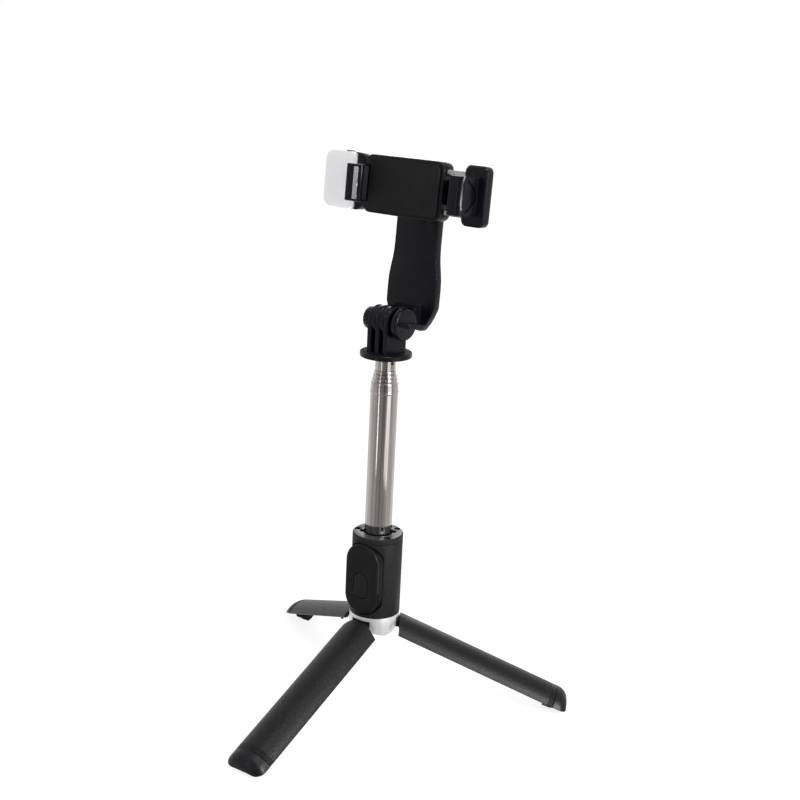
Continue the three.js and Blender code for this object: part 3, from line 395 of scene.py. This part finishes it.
def drawn_tube(number):
    """Sized by its CAD box, but for the outer tube's radius, because that box is as wide as the bead."""
    node = f"tube_{number}"
    low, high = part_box(node)
    outermost = number == 5
    radius = OUTER_TUBE_R if outermost else (high.x - low.x) / 2 / MM
    bead = HANDLE_Z / MM + BEAD_Z if outermost else None
    profile = tube_profile(radius, low.z / MM, high.z / MM, bead)
    axis = Vector((POLE.x, POLE.y, 0))
    body = "head" if number == 1 else f"stage_{number}"
    piece(f"drawn_tube_{number}", lathe(profile, axis), STEEL, body, "tube_steel", node)


for number in (5, 4, 3, 2, 1):
    drawn_tube(number)


# ---------- Legs ----------
# Sizes in mm on the folded leg: s runs down it from its pin, and radii are from the pole's axis.
OPEN = math.radians(67.5)
PIN_X = 10.4
LEG_R = 14.3
LEG_INNER_R = 12.8
LEG_HALF = math.radians(59.2)
ROOT_S = 3.6
ROOT_EDGE_S = 7.0
CAP_S = 104.4
TIP_S = 113.2
TIP_FILLET = 7.0
TIP_CORNER = 5.2
TIP_STEPS = 15
CAP_WALL = 1.5
CAP_LIP = 0.8
THINNEST = 0.03
CAP_GAP = 0.3
RINGS = [101.3, 102.4, 103.5]
RING_D = 0.26
RING_LIP = 0.34
RING_FLOOR = 0.14
ROOT_STEPS = 24
ROOT_ROWS = [ROOT_EDGE_S + 0.6 + 0.5 * i for i in range(4)]
MIDDLE_ROWS = [12 + 4.4 * i for i in range(21)]
LEG_COLUMNS = 45
LEG_ANGLES = [LEG_HALF * (2 * i / (LEG_COLUMNS - 1) - 1) for i in range(LEG_COLUMNS)]


def leg_place(letter):
    """Turns (x, y, s) in mm of the folded leg into the row frame: s runs down the leg from its pin."""
    joint = JOINTS[f"leg_{letter}_fold"]
    pin = Vector(joint["pos_m"])
    wide = Vector(joint["axis"])
    radial = wide.cross(Vector((0, 0, 1)))
    crest = radial * math.cos(OPEN) + Vector((0, 0, math.sin(OPEN)))
    along = radial * math.sin(OPEN) - Vector((0, 0, math.cos(OPEN)))
    return lambda x, y, s: pin + ((x - PIN_X) * crest + y * wide + s * along) * MM


def root_curve():
    """Samples of (y, s) along one half of the scalloped root, from the crest out to the side edge."""
    ends = [(LEG_R * 0.28, ROOT_S), (LEG_R * 0.5, ROOT_S)]
    ends += [(LEG_R * 0.75, ROOT_EDGE_S - 0.3), (LEG_R, ROOT_EDGE_S)]
    samples = [(0.0, ROOT_S)]
    for i in range(ROOT_STEPS + 1):
        t = i / ROOT_STEPS
        share = [(1 - t) ** 3, 3 * t * (1 - t) ** 2, 3 * t * t * (1 - t), t ** 3]
        samples.append(tuple(sum(w * p[k] for w, p in zip(share, ends)) for k in (0, 1)))
    return samples


ROOT = root_curve()


def root_at(y):
    """Where the scalloped root starts at y."""
    y = abs(y)
    for (y0, s0), (y1, s1) in zip(ROOT, ROOT[1:]):
        if y <= y1:
            return s0 + (s1 - s0) * (y - y0) / max(y1 - y0, 1e-9)
    return ROOT[-1][1]


def closed_skin(bm, outer, inner):
    """Joins two grids of the same size into one closed shell."""
    grid_faces(bm, outer)
    grid_faces(bm, inner)
    grid_faces(bm, [outer[0], inner[0]])
    grid_faces(bm, [outer[-1], inner[-1]])
    grid_faces(bm, [[row[0] for row in outer], [row[0] for row in inner]])
    grid_faces(bm, [[row[-1] for row in outer], [row[-1] for row in inner]])


def shell_rows():
    """Positions along the shell past its root, and how deep the ring grooves are there."""
    rows = [(s, 0.0) for s in ROOT_ROWS + MIDDLE_ROWS]
    for ring in RINGS:
        rows += [(ring - RING_LIP, 0.0), (ring - RING_FLOOR, RING_D)]
        rows += [(ring + RING_FLOOR, RING_D), (ring + RING_LIP, 0.0)]
    return rows + [(CAP_S - CAP_GAP, 0.0)]


def leg_shell(letter):
    """Channel a third of a circle round, with a scalloped root and three ring grooves near its end."""
    place = leg_place(letter)
    bm = bmesh.new()
    grids = []
    for radius, grooved in ((LEG_R, True), (LEG_INNER_R, False)):
        first = []
        for angle in LEG_ANGLES:
            x = radius * math.cos(angle)
            y = radius * math.sin(angle)
            first.append(bm.verts.new(place(x, y, root_at(LEG_R * math.sin(angle)))))
        grid = [first]
        for s, depth in shell_rows():
            r = radius - (depth if grooved else 0)
            grid.append([bm.verts.new(place(r * math.cos(a), r * math.sin(a), s)) for a in LEG_ANGLES])
        grids.append(grid)
    closed_skin(bm, *grids)
    name = f"grained_leg_{letter}"
    piece(name, bm, LEG_BLACK, f"leg_{letter}", "leg_plastic", f"leg_shell_{letter}", bevel=0.3, angle=50)


def cap_row(s, inset):
    """How far the domed tip has dropped and narrowed at s."""
    fillet = TIP_FILLET - inset
    end = TIP_S - inset
    high = max(0.0, s - (end - fillet))
    side = max(0.0, s - (end - TIP_CORNER))
    drop = fillet - math.sqrt(max(0.0, fillet ** 2 - high ** 2))
    narrow = TIP_CORNER - math.sqrt(max(0.0, TIP_CORNER ** 2 - side ** 2))
    return drop, narrow


def leg_cap(letter):
    """Domed tip that closes the channel's end, rounded over the top and at both sides."""
    place = leg_place(letter)
    chord = LEG_R * math.cos(LEG_HALF)
    half = LEG_R * math.sin(LEG_HALF)
    bm = bmesh.new()
    grids = []
    for inset in (0.0, CAP_WALL):
        end = TIP_S - inset
        turns = [math.radians(90 / TIP_STEPS * i) for i in range(TIP_STEPS + 1)]
        rows = [CAP_S, CAP_S + CAP_LIP] + [end - TIP_FILLET * (1 - math.sin(turn)) for turn in turns]
        grid = []
        for s in rows:
            drop, narrow = cap_row(s, inset)
            high = max(THINNEST, (LEG_R - inset - drop - chord) / (LEG_R - chord))
            broad = (half - inset - narrow) / half
            row = []
            for angle in LEG_ANGLES:
                x = chord + (LEG_R * math.cos(angle) - chord) * high
                row.append(bm.verts.new(place(x, LEG_R * math.sin(angle) * broad, s)))
            grid.append(row)
        grids.append(grid)
    closed_skin(bm, *grids)
    name = f"domed_tip_{letter}"
    piece(name, bm, CAP_BLACK, f"leg_{letter}", "leg_plastic", f"leg_cap_{letter}", bevel=0.2, angle=50)


for letter in LEGS:
    leg_shell(letter)
    leg_cap(letter)


# ---------- Floor, light and camera ----------
# The view is given by where the camera looks, how it rolls and where it stands: the first two numbers
# of its place are from the pole's axis and the third is above the handle's foot, in metres.
VIEW_FORWARD = Vector((-0.6132, 0.7446, -0.2638)).normalized()
VIEW_RIGHT = VIEW_FORWARD.cross(Vector((0, 0, 1))).normalized()
VIEW_ROLL = 0.0485
VIEW_PLACE = Vector((POLE.x + 0.4272, POLE.y - 0.5048, HANDLE_Z + 0.30586))
LENS = 56.03
SENSOR = 36
FLOOR_HALF = 9.0
FLOOR_Z = -0.0002
ROOM_FRONT = 0.15
ROOM_BACK = 0.9


def floor():
    """Pale sheet under the feet, bright mostly by its own glow. Mirroring surfaces don't see it."""
    bm = bmesh.new()
    corners = [(-FLOOR_HALF, -FLOOR_HALF), (FLOOR_HALF, -FLOOR_HALF)]
    corners += [(FLOOR_HALF, FLOOR_HALF), (-FLOOR_HALF, FLOOR_HALF)]
    bm.faces.new([bm.verts.new((x, y, FLOOR_Z)) for x, y in corners])
    mesh = bpy.data.meshes.new("floor")
    bm.to_mesh(mesh)
    bm.free()
    obj = bpy.data.objects.new("floor", mesh)
    bpy.context.scene.collection.objects.link(obj)
    made = Surface("pale_floor", Specular_IOR_Level=0.1, Emission_Strength=0.85)
    made.shader.inputs["Emission Color"].default_value = (1, 1, 1, 1)
    made.tint(made.noise(4.0), grey(0.29), grey(0.31))
    made.gloss(made.noise(30.0), 0.75, 0.85)
    obj.data.materials.append(made.material)
    obj.visible_glossy = False


def softbox(name, bearing, distance, height, size, power, target=0.2):
    """A rectangular light that the camera doesn't see.

    It stands at a bearing in degrees from the front and is aimed at the height of target on the axis.
    """
    light = bpy.data.lights.new(name, "AREA")
    light.shape = "RECTANGLE"
    light.size, light.size_y = size
    light.energy = power
    obj = bpy.data.objects.new(name, light)
    turn = math.radians(bearing)
    obj.location = (distance * math.sin(turn), -distance * math.cos(turn), height)
    aim = Vector((0, 0, target)) - obj.location
    obj.rotation_euler = aim.to_track_quat("-Z", "Y").to_euler()
    obj.visible_camera = False
    bpy.context.scene.collection.objects.link(obj)


def studio_world():
    """White to the eye, and otherwise a plain soft room: light behind the object, dimmer in front."""
    world = bpy.data.worlds.new("studio")
    bpy.context.scene.world = world
    world.use_nodes = True
    tree = world.node_tree
    seen = tree.nodes["Background"]
    seen.inputs["Color"].default_value = (1, 1, 1, 1)
    seen.inputs["Strength"].default_value = 1.0
    coords = tree.nodes.new("ShaderNodeTexCoord")
    depth = tree.nodes.new("ShaderNodeVectorMath")
    depth.operation = "DOT_PRODUCT"
    depth.inputs[1].default_value = Vector((VIEW_FORWARD.x, VIEW_FORWARD.y, 0)).normalized()
    tree.links.new(coords.outputs["Generated"], depth.inputs[0])
    level = tree.nodes.new("ShaderNodeMapRange")
    level.inputs["From Min"].default_value = -1.0
    level.inputs["To Min"].default_value = ROOM_FRONT
    level.inputs["To Max"].default_value = ROOM_BACK
    tree.links.new(depth.outputs["Value"], level.inputs["Value"])
    room = tree.nodes.new("ShaderNodeBackground")
    room.inputs["Color"].default_value = (1, 1, 1, 1)
    tree.links.new(level.outputs["Result"], room.inputs["Strength"])
    rays = tree.nodes.new("ShaderNodeLightPath")
    mix = tree.nodes.new("ShaderNodeMixShader")
    tree.links.new(rays.outputs["Is Camera Ray"], mix.inputs["Fac"])
    tree.links.new(room.outputs["Background"], mix.inputs[1])
    tree.links.new(seen.outputs["Background"], mix.inputs[2])
    tree.links.new(mix.outputs["Shader"], tree.nodes["World Output"].inputs["Surface"])


def camera():
    """Stands 40 degrees round from the front, looking 15 degrees down and rolled a little."""
    data = bpy.data.cameras.new("camera")
    data.lens = LENS
    data.sensor_width = SENSOR
    obj = bpy.data.objects.new("camera", data)
    upright = VIEW_RIGHT.cross(VIEW_FORWARD)
    right = VIEW_RIGHT * math.cos(VIEW_ROLL) + upright * math.sin(VIEW_ROLL)
    up = right.cross(VIEW_FORWARD)
    turn = Matrix((right, up, -VIEW_FORWARD)).transposed().to_4x4()
    obj.matrix_world = Matrix.Translation(VIEW_PLACE) @ turn
    bpy.context.scene.collection.objects.link(obj)
    bpy.context.scene.camera = obj


floor()
studio_world()
softbox("key", bearing=85, distance=0.8, height=0.45, size=(0.2, 0.3), power=6)
softbox("overhead", bearing=60, distance=0.35, height=1.0, size=(0.3, 0.3), power=1.5)
softbox("back", bearing=-145, distance=1.2, height=0.5, size=(0.8, 0.4), power=3)
softbox("strip_left", bearing=0, distance=0.2, height=0.25, size=(0.02, 0.5), power=0.06, target=0.25)
softbox("strip_right", bearing=90, distance=0.2, height=0.25, size=(0.12, 0.5), power=0.16, target=0.25)
camera()
bpy.context.scene.view_settings.view_transform = "Standard"
